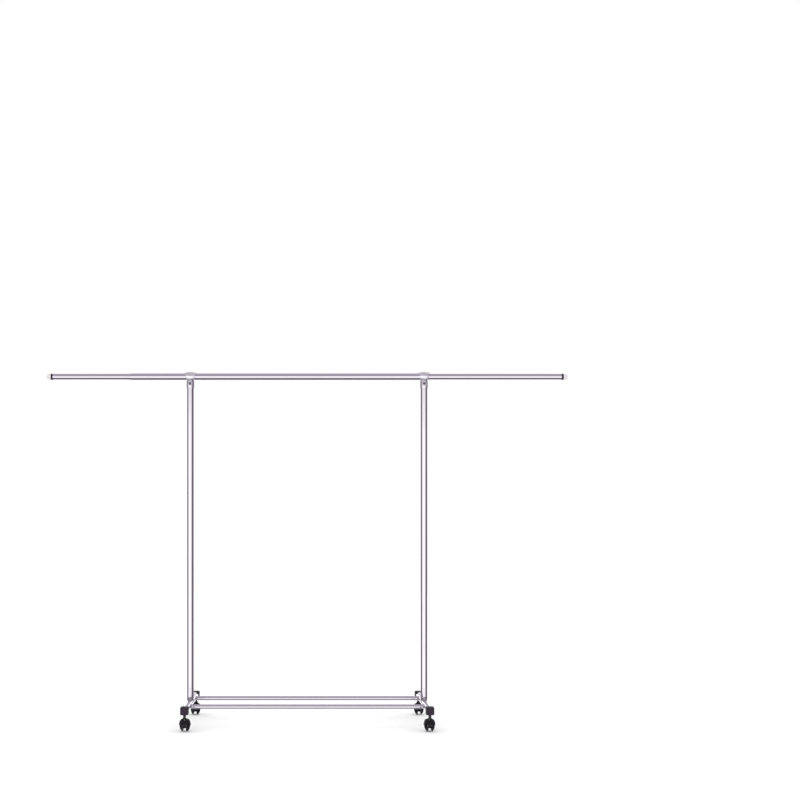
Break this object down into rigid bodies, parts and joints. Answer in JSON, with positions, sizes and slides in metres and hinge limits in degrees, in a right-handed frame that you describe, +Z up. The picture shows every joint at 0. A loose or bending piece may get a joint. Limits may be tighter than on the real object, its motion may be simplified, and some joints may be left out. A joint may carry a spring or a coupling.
{
  "type": "rolling clothes rack",
  "caption": "Rolling clothes rack: one hanging bar with sliding end extensions on two posts, front-to-back feet, lower rails and swivelling twin-wheel casters.",
  "frame": {"origin": "on the floor, midway between the bar's two tips and between the fronts and backs of the feet", "axes": "+X along the hanging bar to the right, +Y to the back, +Z up"},
  "size_m": [1.945, 0.43, 1.3085],
  "materials": {
    "polished_steel": "polished stainless tube, cool grey, mirror-like with faint lengthwise polish lines",
    "chrome_casting": "bright chromed zinc casting",
    "zinc_steel": "zinc-plated steel, dull",
    "black_steel": "black oxide, satin",
    "black_block": "moulded black plastic, satin",
    "black_caster": "moulded black nylon, semi-gloss",
    "black_rubber": "black rubber",
    "white_plastic": "moulded white plastic, satin",
    "grey_plastic": "moulded grey plastic"
  },
  "bodies": {
    "frame": {"main_bar_tube": "polished_steel", "connector_left": "chrome_casting", "post_screw_left": "black_steel", "bar_screw_left": "zinc_steel", "post_left": "polished_steel", "post_spigot_left": "zinc_steel", "post_socket_left": "polished_steel", "foot_tube_left": "polished_steel", "connector_right": "chrome_casting", "post_screw_right": "black_steel", "bar_screw_right": "zinc_steel", "post_right": "polished_steel", "post_spigot_right": "zinc_steel", "post_socket_right": "polished_steel", "foot_tube_right": "polished_steel", "rail_front": "polished_steel", "rail_rear": "polished_steel", "end_block_front_left": "black_block", "rail_insert_front_left": "grey_plastic", "rail_bolt_front_left": "zinc_steel", "caster_stem_front_left": "black_steel", "end_block_front_right": "black_block", "rail_insert_front_right": "grey_plastic", "rail_bolt_front_right": "zinc_steel", "caster_stem_front_right": "black_steel", "end_block_rear_left": "black_block", "rail_insert_rear_left": "grey_plastic", "rail_bolt_rear_left": "zinc_steel", "caster_stem_rear_left": "black_steel", "end_block_rear_right": "black_block", "rail_insert_rear_right": "grey_plastic", "rail_bolt_rear_right": "zinc_steel", "caster_stem_rear_right": "black_steel"},
    "extension_left": {"extension_tube_left": "polished_steel", "end_ring_left": "black_rubber", "end_plug_left": "white_plastic", "guide_plug_left": "grey_plastic"},
    "extension_right": {"extension_tube_right": "polished_steel", "end_ring_right": "black_rubber", "end_plug_right": "white_plastic", "guide_plug_right": "grey_plastic"},
    "caster_front_left": {"caster_hood_front_left": "black_caster", "caster_axle_front_left": "zinc_steel"},
    "wheel_left_front_left": {"wheel_left_front_left": "black_caster"},
    "wheel_right_front_left": {"wheel_right_front_left": "black_caster"},
    "caster_front_right": {"caster_hood_front_right": "black_caster", "caster_axle_front_right": "zinc_steel"},
    "wheel_left_front_right": {"wheel_left_front_right": "black_caster"},
    "wheel_right_front_right": {"wheel_right_front_right": "black_caster"},
    "caster_rear_left": {"caster_hood_rear_left": "black_caster", "caster_axle_rear_left": "zinc_steel"},
    "wheel_left_rear_left": {"wheel_left_rear_left": "black_caster"},
    "wheel_right_rear_left": {"wheel_right_rear_left": "black_caster"},
    "caster_rear_right": {"caster_hood_rear_right": "black_caster", "caster_axle_rear_right": "zinc_steel"},
    "wheel_left_rear_right": {"wheel_left_rear_right": "black_caster"},
    "wheel_right_rear_right": {"wheel_right_rear_right": "black_caster"}
  },
  "joints": [
    {"name": "bar_extension_left_slide", "type": "slide", "parent": "frame", "child": "extension_left", "axis": [-1, 0, 0], "range_m": [-0.286, 0.208]},
    {"name": "bar_extension_right_slide", "type": "slide", "parent": "frame", "child": "extension_right", "axis": [1, 0, 0], "range_m": [-0.494, 0]},
    {"name": "caster_front_left_swivel", "type": "hinge", "parent": "frame", "child": "caster_front_left", "pos_m": [-0.436, -0.201, 0.048], "axis": [0, 0, 1], "continuous": true},
    {"name": "wheel_left_front_left_spin", "type": "hinge", "parent": "caster_front_left", "child": "wheel_left_front_left", "pos_m": [-0.436, -0.188, 0.02], "axis": [1, 0, 0], "continuous": true},
    {"name": "wheel_right_front_left_spin", "type": "hinge", "parent": "caster_front_left", "child": "wheel_right_front_left", "pos_m": [-0.436, -0.188, 0.02], "axis": [1, 0, 0], "continuous": true},
    {"name": "caster_front_right_swivel", "type": "hinge", "parent": "frame", "child": "caster_front_right", "pos_m": [0.436, -0.201, 0.048], "axis": [0, 0, 1], "continuous": true},
    {"name": "wheel_left_front_right_spin", "type": "hinge", "parent": "caster_front_right", "child": "wheel_left_front_right", "pos_m": [0.436, -0.188, 0.02], "axis": [1, 0, 0], "continuous": true},
    {"name": "wheel_right_front_right_spin", "type": "hinge", "parent": "caster_front_right", "child": "wheel_right_front_right", "pos_m": [0.436, -0.188, 0.02], "axis": [1, 0, 0], "continuous": true},
    {"name": "caster_rear_left_swivel", "type": "hinge", "parent": "frame", "child": "caster_rear_left", "pos_m": [-0.436, 0.201, 0.048], "axis": [0, 0, 1], "continuous": true},
    {"name": "wheel_left_rear_left_spin", "type": "hinge", "parent": "caster_rear_left", "child": "wheel_left_rear_left", "pos_m": [-0.436, 0.188, 0.02], "axis": [1, 0, 0], "continuous": true},
    {"name": "wheel_right_rear_left_spin", "type": "hinge", "parent": "caster_rear_left", "child": "wheel_right_rear_left", "pos_m": [-0.436, 0.188, 0.02], "axis": [1, 0, 0], "continuous": true},
    {"name": "caster_rear_right_swivel", "type": "hinge", "parent": "frame", "child": "caster_rear_right", "pos_m": [0.436, 0.201, 0.048], "axis": [0, 0, 1], "continuous": true},
    {"name": "wheel_left_rear_right_spin", "type": "hinge", "parent": "caster_rear_right", "child": "wheel_left_rear_right", "pos_m": [0.436, 0.188, 0.02], "axis": [1, 0, 0], "continuous": true},
    {"name": "wheel_right_rear_right_spin", "type": "hinge", "parent": "caster_rear_right", "child": "wheel_right_rear_right", "pos_m": [0.436, 0.188, 0.02], "axis": [1, 0, 0], "continuous": true}
  ]
}
